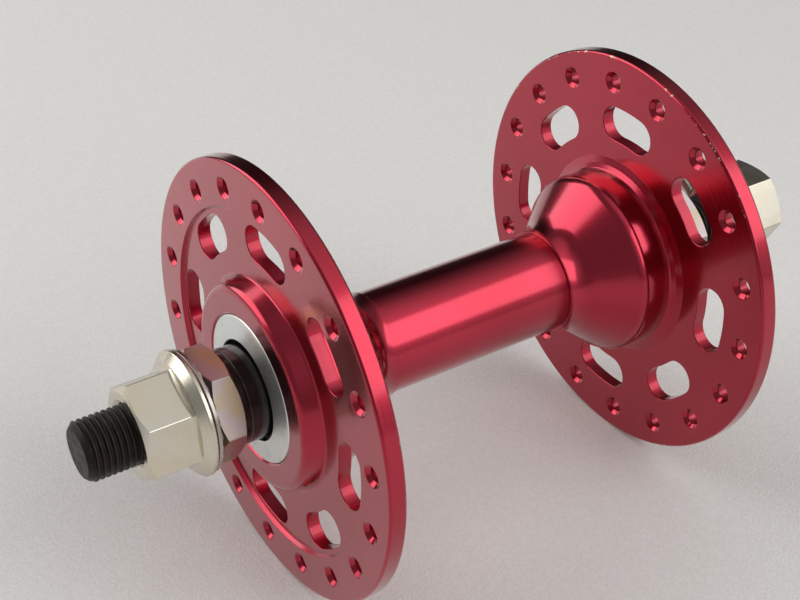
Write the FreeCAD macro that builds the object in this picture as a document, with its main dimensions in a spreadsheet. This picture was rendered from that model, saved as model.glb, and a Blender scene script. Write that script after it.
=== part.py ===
import FreeCAD, Part
import math
import os
import Sketcher

# High-flange front track hub with a solid threaded axle.
#
# Frame: the origin is the hub's centre, +Y runs along the axle, +Z is up. Every piece of one end
# is drawn for the end that points along +Y, so a distance "out" is measured from the hub's centre
# towards that end. The left end is the same drawing turned half a turn about Z.

SIZES = {
    # axle and the distance that the fork ends clamp
    "over_locknuts": 100.0,
    "axle_length": 140.0,
    "axle_radius": 5.0,
    "axle_chamfer": 0.8,
    "running_gap": 0.05,
    # flanges
    "flange_radius": 37.75,
    "flange_out": 38.0,
    "flange_thickness": 3.06,
    "flange_edge": 0.5,
    "hole_circle_radius": 33.0,
    "hole_radius": 1.25,
    "countersink_radius": 1.95,
    "hole_count": 18,
    "slot_count": 8,
    "slot_middle_radius": 25.45,
    "slot_width": 6.3,
    "slot_span": 27.8,
    "recess_radius": 29.7,
    "recess_depth": 0.7,
    "recess_wall_run": 0.3,
    # boss on the outer side of the flange, and the bore for the bearing
    "boss_foot_radius": 18.3,
    "boss_radius": 17.4,
    "boss_out": 40.6,
    "boss_rounding": 1.5,
    "bore_radius": 12.75,
    "bore_chamfer": 0.3,
    "bore_floor_out": 31.4,
    # bell on the inner side of the flange, and the barrel between the bells
    "collar_radius": 18.6,
    "collar_lip_radius": 17.4,
    "collar_lip_height": 0.5,
    "collar_lip_run": 0.7,
    "bell_radius": 16.4,
    "bell_length": 6.2,
    "bell_shoulder_rounding": 3.4,
    "bell_shoulder_length": 1.8,
    "bell_shoulder_drop": 1.2,
    "bell_cone_length": 4.2,
    "bell_cone_drop": 3.8,
    "bell_neck_rounding": 8.0,
    "seam_from_flange": 17.2,
    "seam_radius": 9.2,
    "barrel_radius": 8.9,
    "barrel_bore_radius": 7.4,
    "spigot_radius": 8.2,
    "spigot_length": 5.0,
    # cup-and-cone bearing
    "ball_radius": 2.38125,
    "ball_count": 10,
    "ball_circle_radius": 8.8,
    "ball_out": 35.5,
    "race_gap": 0.08,
    "cup_floor_radius": 9.4,
    "cup_wall_radius": 11.45,
    "cup_mouth_out": 38.5,
    "cup_race_land": 0.4,
    "retainer_below_mouth": 0.3,
    "retainer_thickness": 0.6,
    "retainer_radius": 10.95,
    "retainer_inner_radius": 10.05,
    "retainer_tab_width": 1.6,
    "retainer_tab_thickness": 0.8,
    "retainer_tab_inset": 0.05,
    "cap_radius": 12.7,
    "cap_hole_radius": 8.6,
    "cap_thickness": 0.7,
    "cap_edge_rounding": 0.3,
    "cap_below_boss": 0.1,
    "cap_rise": 0.6,
    "cap_skirt_gap": 0.1,
    "cone_radius": 8.0,
    "cone_nose_out": 33.9,
    "cone_chamfer": 0.3,
    # lock washer, locknut, axle nut and its captive washer
    "lock_washer_thickness": 1.2,
    "lock_washer_radius": 7.9,
    "locknut_thickness": 4.5,
    "locknut_flats": 17.0,
    "locknut_chamfer": 0.7,
    "locknut_chamfer_run": 1.12,
    "nut_flats": 15.0,
    "nut_face_out": 61.7,
    "nut_chamfer_radius": 7.3,
    "nut_chamfer_slope": 0.55,
    "nut_flange_radius": 10.5,
    "nut_flange_out": 51.3,
    "nut_flange_edge": 0.7,
    "nut_flange_slope": 1.3,
    "nut_flange_top_radius": 9.0,
    "nut_foot_height": 0.3,
    "nut_collar_radius": 6.3,
    "nut_collar_length": 0.7,
    "grip_washer_radius": 10.2,
    "grip_washer_thickness": 0.9,
    "grip_washer_clearance": 0.15,
    "grip_tooth_count": 24,
    "grip_tooth_depth": 0.3,
    "grip_tooth_flank": 1.6,
    # how far each axle nut stands out from where it would clamp a fork end of no thickness
    "left_nut_backed_off": 0.0,
    "right_nut_backed_off": 8.2,
}

# Turn about the axle, in degrees, of each end's hole circle, of its slots against its holes, and
# of the corners of its locknut and its axle nut.
ENDS = {
    "left": {"flip": 180.0, "way": -1.0,
             "holes": 12.96, "slots": -8.96, "locknut": 1.6, "nut": 25.7},
    "right": {"flip": 0.0, "way": 1.0,
              "holes": 17.04, "slots": -17.88, "locknut": 22.0, "nut": -1.0},
}

SAFE_REACH = 5.0        # how far a cutting tool runs past the material that it cuts
LEAST_CHANGE = 1e-3     # the least volume, in cubic millimetres, that a feature must add or take

doc = FreeCAD.newDocument("front_hub")
pieces = []


class Size:
    """A length that keeps both its value and the expression that stands for it in the document."""

    def __init__(self, value, text):
        self.value = value
        self.text = text

    def combine(self, other, sign, value):
        return Size(value, f"({self.text} {sign} {other.text})")

    def __add__(self, other):
        other = as_size(other)
        return self.combine(other, "+", self.value + other.value)

    def __sub__(self, other):
        other = as_size(other)
        return self.combine(other, "-", self.value - other.value)

    def __mul__(self, other):
        other = as_size(other)
        return self.combine(other, "*", self.value * other.value)

    def __truediv__(self, other):
        other = as_size(other)
        return self.combine(other, "/", self.value / other.value)

    def __neg__(self):
        return as_size(0.0) - self


def as_size(number):
    """Wrap a plain number, so that it can stand beside the sheet's sizes."""
    if isinstance(number, Size):
        return number
    return Size(float(number), repr(float(number)))


def root(size):
    return Size(math.sqrt(size.value), f"sqrt({size.text})")


def cosine(size):
    return Size(math.cos(math.radians(size.value)), f"cos({size.text})")


def sine(size):
    return Size(math.sin(math.radians(size.value)), f"sin({size.text})")


def fill_sheet():
    """Write the driving dimensions into a spreadsheet and return them as Sizes by name."""
    sheet = doc.addObject("Spreadsheet::Sheet", "sizes")
    for row, (alias, value) in enumerate(SIZES.items(), start=1):
        sheet.set(f"A{row}", alias)
        sheet.set(f"B{row}", str(value))
        sheet.setAlias(f"B{row}", alias)
    doc.recompute()
    return {alias: Size(value, f"sizes.{alias}") for alias, value in SIZES.items()}


dim = fill_sheet()


def origin_feature(body, role):
    for feature in body.Origin.OriginFeatures:
        if feature.Role == role:
            return feature
    raise ValueError(role)


def new_sketch(body, name, plane):
    sketch = body.newObject("Sketcher::SketchObject", name)
    sketch.AttachmentSupport = [(origin_feature(body, plane), "")]
    sketch.MapMode = "FlatFace"
    return sketch


def bind(sketch, constraint, size):
    """Add a driving constraint and tie it to its expression."""
    index = sketch.addConstraint(constraint)
    sketch.setExpression(f"Constraints[{index}]", size.text)


def pin_point(sketch, edge, end, across, along):
    """Hold one end of an edge at a distance across and along the sketch's axes."""
    if across.value == 0.0:
        sketch.addConstraint(Sketcher.Constraint("PointOnObject", edge, end, -2))
    else:
        bind(sketch, Sketcher.Constraint("DistanceX", -1, 1, edge, end, across.value), across)
    if along.value == 0.0:
        sketch.addConstraint(Sketcher.Constraint("PointOnObject", edge, end, -1))
    else:
        bind(sketch, Sketcher.Constraint("DistanceY", -1, 1, edge, end, along.value), along)


def arc_between(start, end, radius, left):
    """The short arc from start to end whose centre lies to the left or right of the way there."""
    chord = end - start
    middle = (start + end) * 0.5
    rise = math.sqrt(radius ** 2 - (chord.Length / 2) ** 2)
    normal = FreeCAD.Vector(-chord.y, chord.x, 0).normalize()
    centre = middle + normal * (rise if left else -rise)
    first, last = (start, end) if left else (end, start)
    circle = Part.Circle(centre, FreeCAD.Vector(0, 0, 1), radius)
    angles = [math.atan2(point.y - centre.y, point.x - centre.x) for point in (first, last)]
    return Part.ArcOfCircle(circle, angles[0], angles[1])


def draw_outline(sketch, outline):
    """Draw a closed outline of (across, along) points, each held by its own two sizes.

    A third value, (radius, "left" or "right"), makes the stretch that leads to the point an arc
    whose centre lies on that side of the way round.
    """
    outline = [(as_size(point[0]), as_size(point[1]), *point[2:]) for point in outline]
    places = [FreeCAD.Vector(across.value, along.value, 0) for across, along, *bend in outline]
    start_end = []
    for index, (across, along, *bend) in enumerate(outline):
        start = places[index - 1]
        end = places[index]
        if bend:
            radius, hand = as_size(bend[0][0]), bend[0][1]
            edge = sketch.addGeometry(arc_between(start, end, radius.value, hand == "left"))
            start_end.append((edge, 1, 2) if hand == "left" else (edge, 2, 1))
        else:
            edge = sketch.addGeometry(Part.LineSegment(start, end))
            start_end.append((edge, 1, 2))
    for index, (edge, start, end) in enumerate(start_end):
        before, before_start, before_end = start_end[index - 1]
        sketch.addConstraint(Sketcher.Constraint("Coincident", before, before_end, edge, start))
    for (edge, start, end), (across, along, *bend) in zip(start_end, outline):
        pin_point(sketch, edge, end, across, along)
        if bend:
            radius = as_size(bend[0][0])
            bind(sketch, Sketcher.Constraint("Radius", edge, radius.value), radius)


def new_body(label):
    body = doc.addObject("PartDesign::Body", label)
    pieces.append(body)
    return body


def turned(label, outline):
    """A body turned about the axle from an outline of (radius, out) points."""
    body = new_body(label)
    sketch = new_sketch(body, label + "_outline", "XY_Plane")
    draw_outline(sketch, outline)
    turning = body.newObject("PartDesign::Revolution", label + "_turning")
    turning.Profile = sketch
    turning.ReferenceAxis = (sketch, ["V_Axis"])
    turning.Angle = 360
    doc.recompute()
    return body


def make_last(body, feature, volume_before):
    """Make the feature the body's last one and make sure that it changed the body."""
    body.Tip = feature
    doc.recompute()
    if abs(body.Shape.Volume - volume_before) < LEAST_CHANGE:
        raise ValueError(f"{feature.Label} changes nothing")


def repeat_about_axle(body, feature, count):
    """Repeat a feature evenly round the axle."""
    volume_before = body.Shape.Volume
    pattern = body.newObject("PartDesign::PolarPattern", feature.Label + "_ring")
    pattern.Originals = [feature]
    pattern.Axis = (origin_feature(body, "Y_Axis"), [""])
    pattern.Angle = 360
    pattern.Occurrences = int(count.value)
    pattern.setExpression("Occurrences", count.text)
    make_last(body, pattern, volume_before)


def cut_hole_ring(body):
    """Spoke holes through the flange, countersunk from both sides."""
    volume_before = body.Shape.Volume
    sketch = new_sketch(body, body.Label + "_hole_outline", "XY_Plane")
    middle = dim["hole_circle_radius"]
    outer = dim["flange_out"]
    inner = outer - dim["flange_thickness"]
    sink = dim["countersink_radius"] - dim["hole_radius"]
    wide = middle + dim["countersink_radius"] + SAFE_REACH
    draw_outline(sketch, [
        (middle, inner - SAFE_REACH),
        (wide, inner - SAFE_REACH),
        (middle + dim["hole_radius"], inner + sink),
        (middle + dim["hole_radius"], outer - sink),
        (wide, outer + SAFE_REACH),
        (middle, outer + SAFE_REACH),
    ])
    start = FreeCAD.Vector(middle.value, 0, 0)
    end = FreeCAD.Vector(middle.value, outer.value, 0)
    axis = sketch.addGeometry(Part.LineSegment(start, end), True)
    pin_point(sketch, axis, 1, middle, as_size(0.0))
    pin_point(sketch, axis, 2, middle, outer)
    hole = body.newObject("PartDesign::Groove", body.Label + "_hole")
    hole.Profile = sketch
    hole.ReferenceAxis = (sketch, ["Axis0"])
    hole.Angle = 360
    make_last(body, hole, volume_before)
    repeat_about_axle(body, hole, dim["hole_count"])


def polar(radius, angle):
    """The (across, along) point at a radius from the sketch's origin and an angle in degrees."""
    return radius * cosine(angle), radius * sine(angle)


def cut_slot_ring(body, turn):
    """Kidney-shaped slots that lighten the flange's web."""
    volume_before = body.Shape.Volume
    sketch = new_sketch(body, body.Label + "_slot_outline", "XZ_Plane")
    middle = dim["slot_middle_radius"]
    half_width = dim["slot_width"] / 2.0
    inner = middle - half_width
    outer = middle + half_width
    end_reach = half_width / middle * math.degrees(1.0)
    low = dim["slot_span"] / -2.0 + end_reach + turn
    high = dim["slot_span"] / 2.0 - end_reach + turn
    low_tip = middle * cosine(low) + half_width * sine(low), \
        middle * sine(low) - half_width * cosine(low)
    high_tip = middle * cosine(high) - half_width * sine(high), \
        middle * sine(high) + half_width * cosine(high)
    draw_outline(sketch, [
        (*polar(outer, low), (half_width, "left")),
        (*polar(outer, high), (outer, "left")),
        (*high_tip, (half_width, "left")),
        (*polar(inner, high), (half_width, "left")),
        (*polar(inner, low), (inner, "right")),
        (*low_tip, (half_width, "left")),
    ])
    slot = body.newObject("PartDesign::Pocket", body.Label + "_slot")
    slot.Profile = sketch
    slot.Type = "ThroughAll"
    slot.SideType = "Symmetric"
    make_last(body, slot, volume_before)
    repeat_about_axle(body, slot, dim["slot_count"])


def cut_flats(body, across_flats, start_out, length):
    """Leave a hexagon of the turned body, from start_out for the given length outwards."""
    volume_before = body.Shape.Volume
    sketch = new_sketch(body, body.Label + "_hexagon", "XZ_Plane")
    sketch.AttachmentOffset = FreeCAD.Placement(FreeCAD.Vector(0, 0, -start_out.value),
                                                FreeCAD.Rotation())
    sketch.setExpression("AttachmentOffset.Base.z", (-start_out).text)
    corner = across_flats / root(as_size(3.0))
    corners = []
    for number in range(6):
        angle = as_size(60.0 * number)
        corners.append((corner * cosine(angle), corner * sine(angle)))
    places = [FreeCAD.Vector(across.value, along.value, 0) for across, along in corners]
    for number in range(6):
        sketch.addGeometry(Part.LineSegment(places[number - 1], places[number]))
    for number in range(6):
        sketch.addConstraint(Sketcher.Constraint("Coincident", number - 1 if number else 5, 2,
                                                 number, 1))
    for number, (across, along) in enumerate(corners):
        bind(sketch, Sketcher.Constraint("DistanceX", -1, 1, number, 2, across.value), across)
        if number % 3:
            bind(sketch, Sketcher.Constraint("DistanceY", -1, 1, number, 2, along.value), along)
        else:
            sketch.addConstraint(Sketcher.Constraint("PointOnObject", number, 2, -1))
    rim_radius = corner + SAFE_REACH
    rim = sketch.addGeometry(Part.Circle(FreeCAD.Vector(0, 0, 0), FreeCAD.Vector(0, 0, 1),
                                         rim_radius.value))
    sketch.addConstraint(Sketcher.Constraint("Coincident", rim, 3, -1, 1))
    bind(sketch, Sketcher.Constraint("Radius", rim, rim_radius.value), rim_radius)
    flats = body.newObject("PartDesign::Pocket", body.Label + "_flats")
    flats.Profile = sketch
    flats.Type = "Length"
    flats.Length = length.value
    flats.setExpression("Length", length.text)
    make_last(body, flats, volume_before)


def place(piece, end, turn=0.0):
    """Turn a piece about the axle by the given angle, from X towards Z, then set it on its end."""
    spin = FreeCAD.Rotation(FreeCAD.Vector(0, 1, 0), -turn)
    flip = FreeCAD.Rotation(FreeCAD.Vector(0, 0, 1), ENDS[end]["flip"])
    piece.Placement = FreeCAD.Placement(FreeCAD.Vector(0, 0, 0), flip.multiply(spin))


def back_off(piece, end):
    """Move a piece of the axle nut's set out along the thread."""
    shift = dim[f"{end}_nut_backed_off"] * ENDS[end]["way"]
    piece.setExpression("Placement.Base.y", shift.text)


def flange_shell(end):
    """Flange, boss and bell in one piece, pressed on the end of the barrel."""
    inner = dim["flange_out"] - dim["flange_thickness"]
    seam = inner - dim["seam_from_flange"]
    edge = dim["flange_edge"]
    lip = inner - dim["collar_lip_height"]
    shoulder = inner - dim["bell_length"]
    cone_start = shoulder - dim["bell_shoulder_length"]
    cone_end = cone_start - dim["bell_cone_length"]
    cone_radius = dim["bell_radius"] - dim["bell_shoulder_drop"]
    web = dim["flange_out"] - dim["recess_depth"]
    body = turned(f"{end}_flange_shell", [
        (dim["spigot_radius"], seam),
        (dim["seam_radius"], seam),
        (cone_radius - dim["bell_cone_drop"], cone_end, (dim["bell_neck_rounding"], "right")),
        (cone_radius, cone_start),
        (dim["bell_radius"], shoulder, (dim["bell_shoulder_rounding"], "left")),
        (dim["bell_radius"], lip - dim["collar_lip_run"]),
        (dim["collar_lip_radius"], lip),
        (dim["collar_radius"], inner),
        (dim["flange_radius"] - edge, inner),
        (dim["flange_radius"], inner + edge, (edge, "left")),
        (dim["flange_radius"], dim["flange_out"] - edge),
        (dim["flange_radius"] - edge, dim["flange_out"], (edge, "left")),
        (dim["recess_radius"], dim["flange_out"]),
        (dim["recess_radius"] - dim["recess_wall_run"], web),
        (dim["boss_foot_radius"], web),
        (dim["boss_radius"], dim["boss_out"] - dim["boss_rounding"]),
        (dim["boss_radius"] - dim["boss_rounding"], dim["boss_out"],
         (dim["boss_rounding"], "left")),
        (dim["bore_radius"] + dim["bore_chamfer"], dim["boss_out"]),
        (dim["bore_radius"], dim["boss_out"] - dim["bore_chamfer"]),
        (dim["bore_radius"], dim["bore_floor_out"]),
        (dim["barrel_bore_radius"], dim["bore_floor_out"]),
        (dim["barrel_bore_radius"], seam + dim["spigot_length"]),
        (dim["spigot_radius"], seam + dim["spigot_length"]),
    ])
    cut_hole_ring(body)
    cut_slot_ring(body, ENDS[end]["slots"])
    place(body, end, ENDS[end]["holes"])


def centre_barrel():
    """Tube between the two shells, with a spigot at each end inside the shell's neck."""
    seam = dim["flange_out"] - dim["flange_thickness"] - dim["seam_from_flange"]
    tip = seam + dim["spigot_length"]
    turned("centre_barrel", [
        (dim["barrel_bore_radius"], -tip),
        (dim["spigot_radius"], -tip),
        (dim["spigot_radius"], -seam),
        (dim["barrel_radius"], -seam),
        (dim["barrel_radius"], seam),
        (dim["spigot_radius"], seam),
        (dim["spigot_radius"], tip),
        (dim["barrel_bore_radius"], tip),
    ])


def race_point(radius, steps_out, race):
    """Where a ball race of the given radius meets a circle of another radius round the axle."""
    offset = radius - dim["ball_circle_radius"]
    rise = root(race * race - offset * offset)
    return dim["ball_out"] + rise * steps_out


def bearing_cup(end):
    """Hardened cup pressed into the shell, with the race that the balls run in."""
    race = dim["ball_radius"] + dim["race_gap"]
    top = dim["ball_circle_radius"] + race
    floor_out = race_point(dim["cup_floor_radius"], -1.0, race)
    body = turned(f"{end}_bearing_cup", [
        (dim["cup_floor_radius"], dim["bore_floor_out"]),
        (dim["bore_radius"], dim["bore_floor_out"]),
        (dim["bore_radius"], dim["cup_mouth_out"]),
        (dim["cup_wall_radius"], dim["cup_mouth_out"]),
        (dim["cup_wall_radius"], dim["ball_out"] + dim["cup_race_land"]),
        (top, dim["ball_out"]),
        (dim["cup_floor_radius"], floor_out, (race, "right")),
    ])
    place(body, end)


def bearing_balls(end):
    """The loose steel balls of one bearing, as separate solids in one piece."""
    balls = []
    for number in range(int(dim["ball_count"].value)):
        ball = doc.addObject("Part::Sphere", f"{end}_ball_{number + 1}")
        ball.Radius = dim["ball_radius"].value
        ball.setExpression("Radius", dim["ball_radius"].text)
        angle = as_size(360.0 * number) / dim["ball_count"]
        across = dim["ball_circle_radius"] * cosine(angle)
        rise = dim["ball_circle_radius"] * sine(angle)
        ball.setExpression("Placement.Base.x", across.text)
        ball.setExpression("Placement.Base.y", dim["ball_out"].text)
        ball.setExpression("Placement.Base.z", rise.text)
        balls.append(ball)
    group = doc.addObject("Part::Compound", f"{end}_bearing_balls")
    group.Links = balls
    pieces.append(group)
    place(group, end)


def ball_retainer(end):
    """Pressed ring with a tab between each two balls, which keeps them apart."""
    ring_out = dim["cup_mouth_out"] - dim["retainer_below_mouth"]
    tab_outer = dim["retainer_radius"] - dim["retainer_tab_inset"]
    body = turned(f"{end}_ball_retainer", [
        (dim["retainer_inner_radius"], ring_out - dim["retainer_thickness"]),
        (dim["retainer_radius"], ring_out - dim["retainer_thickness"]),
        (dim["retainer_radius"], ring_out),
        (dim["retainer_inner_radius"], ring_out),
    ])
    volume_before = body.Shape.Volume
    sketch = new_sketch(body, f"{end}_tab_outline", "XZ_Plane")
    sketch.AttachmentOffset = FreeCAD.Placement(FreeCAD.Vector(0, 0, -ring_out.value),
                                                FreeCAD.Rotation())
    sketch.setExpression("AttachmentOffset.Base.z", (-ring_out).text)
    half = dim["retainer_tab_width"] / 2.0
    draw_outline(sketch, [
        (tab_outer - dim["retainer_tab_thickness"], -half),
        (tab_outer, -half),
        (tab_outer, half),
        (tab_outer - dim["retainer_tab_thickness"], half),
    ])
    tab = body.newObject("PartDesign::Pad", f"{end}_tab")
    tab.Profile = sketch
    length = ring_out - dim["ball_out"]
    tab.Length = length.value
    tab.setExpression("Length", length.text)
    make_last(body, tab, volume_before)
    repeat_about_axle(body, tab, dim["ball_count"])
    half_ball_step = 180.0 / dim["ball_count"].value
    place(body, end, half_ball_step)


def bearing_cone(end):
    """Cone screwed on the axle, with the inner race at its nose."""
    race = dim["ball_radius"] + dim["race_gap"]
    nose_radius = dim["ball_circle_radius"] - race
    shoulder_out = race_point(dim["cone_radius"], 1.0, race)
    lock_face = dim["over_locknuts"] / 2.0 - dim["locknut_thickness"]
    back = lock_face - dim["lock_washer_thickness"]
    body = turned(f"{end}_bearing_cone", [
        (dim["axle_radius"], dim["cone_nose_out"]),
        (nose_radius, dim["cone_nose_out"]),
        (nose_radius, dim["ball_out"]),
        (dim["cone_radius"], shoulder_out, (race, "right")),
        (dim["cone_radius"], back - dim["cone_chamfer"]),
        (dim["cone_radius"] - dim["cone_chamfer"], back),
        (dim["axle_radius"], back),
    ])
    place(body, end)


def lock_washer(end):
    """Plain washer between the cone and its locknut."""
    face = dim["over_locknuts"] / 2.0 - dim["locknut_thickness"]
    body = turned(f"{end}_lock_washer", [
        (dim["axle_radius"], face - dim["lock_washer_thickness"]),
        (dim["lock_washer_radius"], face - dim["lock_washer_thickness"]),
        (dim["lock_washer_radius"], face),
        (dim["axle_radius"], face),
    ])
    place(body, end)


def locknut(end):
    """Thin hexagon nut that holds the cone's setting; the fork end rests on its outer face."""
    outer = dim["over_locknuts"] / 2.0
    inner = outer - dim["locknut_thickness"]
    corner = dim["locknut_flats"] / root(as_size(3.0))
    face_radius = corner - dim["locknut_chamfer_run"]
    body = turned(f"{end}_locknut", [
        (dim["axle_radius"], inner),
        (face_radius, inner),
        (corner, inner + dim["locknut_chamfer"]),
        (corner, outer - dim["locknut_chamfer"]),
        (face_radius, outer),
        (dim["axle_radius"], outer),
    ])
    cut_flats(body, dim["locknut_flats"], inner - SAFE_REACH,
              dim["locknut_thickness"] + 2.0 * SAFE_REACH)
    place(body, end, ENDS[end]["locknut"])


def dust_cap(end):
    """Pressed ring that closes the bearing and leaves a round opening for the cone."""
    thickness = dim["cap_thickness"]
    edge = dim["cap_edge_rounding"]
    rim_out = dim["boss_out"] - dim["cap_below_boss"]
    lip_out = rim_out + dim["cap_rise"]
    skirt_out = dim["cup_mouth_out"] + dim["cap_skirt_gap"]
    body = turned(f"{end}_dust_cap", [
        (dim["cap_radius"] - thickness, skirt_out),
        (dim["cap_radius"], skirt_out),
        (dim["cap_radius"], rim_out - edge),
        (dim["cap_radius"] - edge, rim_out, (edge, "left")),
        (dim["cap_hole_radius"], lip_out),
        (dim["cap_hole_radius"], lip_out - thickness),
        (dim["cap_radius"] - thickness, rim_out - thickness),
    ])
    place(body, end)


def grip_washer(end):
    """Washer that stays on the axle nut and bites the fork end with radial teeth."""
    clearance = dim["grip_washer_clearance"]
    outer = dim["nut_flange_out"] - clearance
    inner = outer - dim["grip_washer_thickness"]
    bore = dim["nut_collar_radius"] + clearance
    body = turned(f"{end}_grip_washer", [
        (bore, inner),
        (dim["grip_washer_radius"], inner),
        (dim["grip_washer_radius"], outer),
        (bore, outer),
    ])
    volume_before = body.Shape.Volume
    sketch = new_sketch(body, f"{end}_tooth_outline", "YZ_Plane")
    depth = dim["grip_tooth_depth"]
    half = depth * dim["grip_tooth_flank"] * 2.0
    draw_outline(sketch, [
        (inner - depth, -half),
        (inner + depth, 0.0),
        (inner - depth, half),
    ])
    groove = body.newObject("PartDesign::Pocket", f"{end}_tooth_gap")
    groove.Profile = sketch
    groove.Type = "Length"
    reach = dim["grip_washer_radius"] + SAFE_REACH
    groove.Length = reach.value
    groove.setExpression("Length", reach.text)
    groove.Reversed = True
    make_last(body, groove, volume_before)
    repeat_about_axle(body, groove, dim["grip_tooth_count"])
    place(body, end)
    back_off(body, end)


def axle_nut(end):
    """Hexagon nut with a sloping round flange and a collar that carries the grip washer."""
    flange = dim["nut_flange_out"]
    slope_start = flange + dim["nut_flange_edge"]
    slope_end = slope_start + dim["nut_flange_slope"]
    foot = slope_end + dim["nut_foot_height"]
    corner = dim["nut_flats"] / root(as_size(3.0))
    bore = dim["axle_radius"] + dim["running_gap"]
    chamfer_length = (corner - dim["nut_chamfer_radius"]) * dim["nut_chamfer_slope"]
    body = turned(f"{end}_axle_nut", [
        (bore, flange - dim["nut_collar_length"]),
        (dim["nut_collar_radius"], flange - dim["nut_collar_length"]),
        (dim["nut_collar_radius"], flange),
        (dim["nut_flange_radius"], flange),
        (dim["nut_flange_radius"], slope_start),
        (dim["nut_flange_top_radius"], slope_end),
        (corner, foot),
        (corner, dim["nut_face_out"] - chamfer_length),
        (dim["nut_chamfer_radius"], dim["nut_face_out"]),
        (bore, dim["nut_face_out"]),
    ])
    cut_flats(body, dim["nut_flats"], foot, dim["nut_face_out"] - foot + SAFE_REACH)
    place(body, end, ENDS[end]["nut"])
    back_off(body, end)


def axle():
    """Solid axle, threaded all along, with a chamfer at each end."""
    tip = dim["axle_length"] / 2.0
    shoulder = tip - dim["axle_chamfer"]
    face_radius = dim["axle_radius"] - dim["axle_chamfer"]
    turned("axle", [
        (0.0, -tip),
        (face_radius, -tip),
        (dim["axle_radius"], -shoulder),
        (dim["axle_radius"], shoulder),
        (face_radius, tip),
        (0.0, tip),
    ])


def check_document():
    """Stop if any object failed, or if any piece has no valid shape."""
    doc.recompute()
    for thing in doc.Objects:
        if "Invalid" in thing.State or "Error" in thing.State:
            raise ValueError(f"{thing.Label} failed: {thing.State}")
    for piece in pieces:
        if piece.Shape.isNull() or not piece.Shape.isValid():
            raise ValueError(f"{piece.Label} has no valid shape")


def write_pieces():
    os.makedirs("parts", exist_ok=True)
    for piece in pieces:
        piece.Shape.exportStep(f"parts/{piece.Label}.step")
        print(f"{piece.Label:24s} solids {len(piece.Shape.Solids):3d}  {piece.Shape.Volume:10.2f} mm3")


axle()
centre_barrel()
for end_name in ENDS:
    flange_shell(end_name)
    bearing_cup(end_name)
    bearing_balls(end_name)
    ball_retainer(end_name)
    bearing_cone(end_name)
    dust_cap(end_name)
    lock_washer(end_name)
    locknut(end_name)
    grip_washer(end_name)
    axle_nut(end_name)
check_document()
write_pieces()
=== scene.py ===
import math

import bpy
from mathutils import Matrix, Vector
from mathutils.geometry import tessellate_polygon


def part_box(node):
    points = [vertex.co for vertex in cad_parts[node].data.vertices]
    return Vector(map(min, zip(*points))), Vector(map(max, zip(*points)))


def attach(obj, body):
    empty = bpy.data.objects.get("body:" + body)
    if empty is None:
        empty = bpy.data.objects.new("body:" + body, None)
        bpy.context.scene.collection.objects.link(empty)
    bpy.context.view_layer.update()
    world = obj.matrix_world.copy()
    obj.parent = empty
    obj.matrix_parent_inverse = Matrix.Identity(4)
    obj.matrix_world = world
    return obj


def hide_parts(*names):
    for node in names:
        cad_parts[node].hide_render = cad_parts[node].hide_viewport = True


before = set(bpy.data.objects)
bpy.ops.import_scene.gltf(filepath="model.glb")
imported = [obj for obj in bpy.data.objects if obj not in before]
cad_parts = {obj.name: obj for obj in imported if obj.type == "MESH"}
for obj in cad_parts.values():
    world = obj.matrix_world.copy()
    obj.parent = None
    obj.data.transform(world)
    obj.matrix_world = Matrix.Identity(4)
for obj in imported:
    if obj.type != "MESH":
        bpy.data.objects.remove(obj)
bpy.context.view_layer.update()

# Everything is in metres. Each piece of an end is drawn for the end that points along +Y, where
# "out" is the distance from the hub's centre; the left end is turned half a turn about Z.

MM = 0.001
ENDS = ("left", "right")
STEPS_ROUND = 192          # steps round a flange
SMALL_STEPS = 96           # steps round a nut, cap or cone
ARC_STEP = math.radians(12)
NUT_CHAMFER = math.atan(0.58)

# directions, sizes and brightness of the surroundings
WINDOW = Vector((0.68, 0.42, 0.585))
CEILING = Vector((-0.66, -0.52, 0.50))
DARK_SIDE = Vector((-0.87, 0.45, 0.15))
OVERHEAD = Vector((0.02, 0.22, 0.97))
ROOM_LIGHT = 0.25
DARK_LIGHT = 0.02
WINDOW_GLOW = 0.4
OVERHEAD_GLOW = 0.42
LAMP_DISTANCE = 1.1
WINDOW_SIZE = (0.9, 0.85)
WINDOW_POWER = 4.7
CEILING_SIZE = (1.1, 0.9)
CEILING_POWER = 6.8


# ---------------------------------------------------------------- sizes taken from the frame

def span(node):
    """How far out a node of either end starts and stops."""
    low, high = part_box(node)
    return (low.y, high.y) if low.y > 0 else (-high.y, -low.y)


def outer_radius(node):
    """The largest distance of a round node from the axle."""
    low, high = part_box(node)
    return max(high.x, high.z, -low.x, -low.z)


FLANGE_RADIUS = outer_radius("right_flange_shell")
SEAM_OUT, BOSS_OUT = span("right_flange_shell")
AXLE_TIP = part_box("axle")[1].y
AXLE_RADIUS = outer_radius("axle")
CAP_RADIUS = outer_radius("right_dust_cap")
CAP_SKIRT_OUT, CAP_LIP_OUT = span("right_dust_cap")
CONE_RADIUS = outer_radius("right_bearing_cone")
CONE_NOSE_OUT, CONE_BACK_OUT = span("right_bearing_cone")
WASHER_IN, WASHER_OUT = span("right_lock_washer")
LOCKNUT_IN, LOCKNUT_OUT = span("right_locknut")
GRIP_RADIUS = outer_radius("right_grip_washer")
NUT_FLANGE_RADIUS = outer_radius("right_axle_nut")
BARREL_RADIUS = outer_radius("centre_barrel")
FLOOR = -FLANGE_RADIUS

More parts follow.
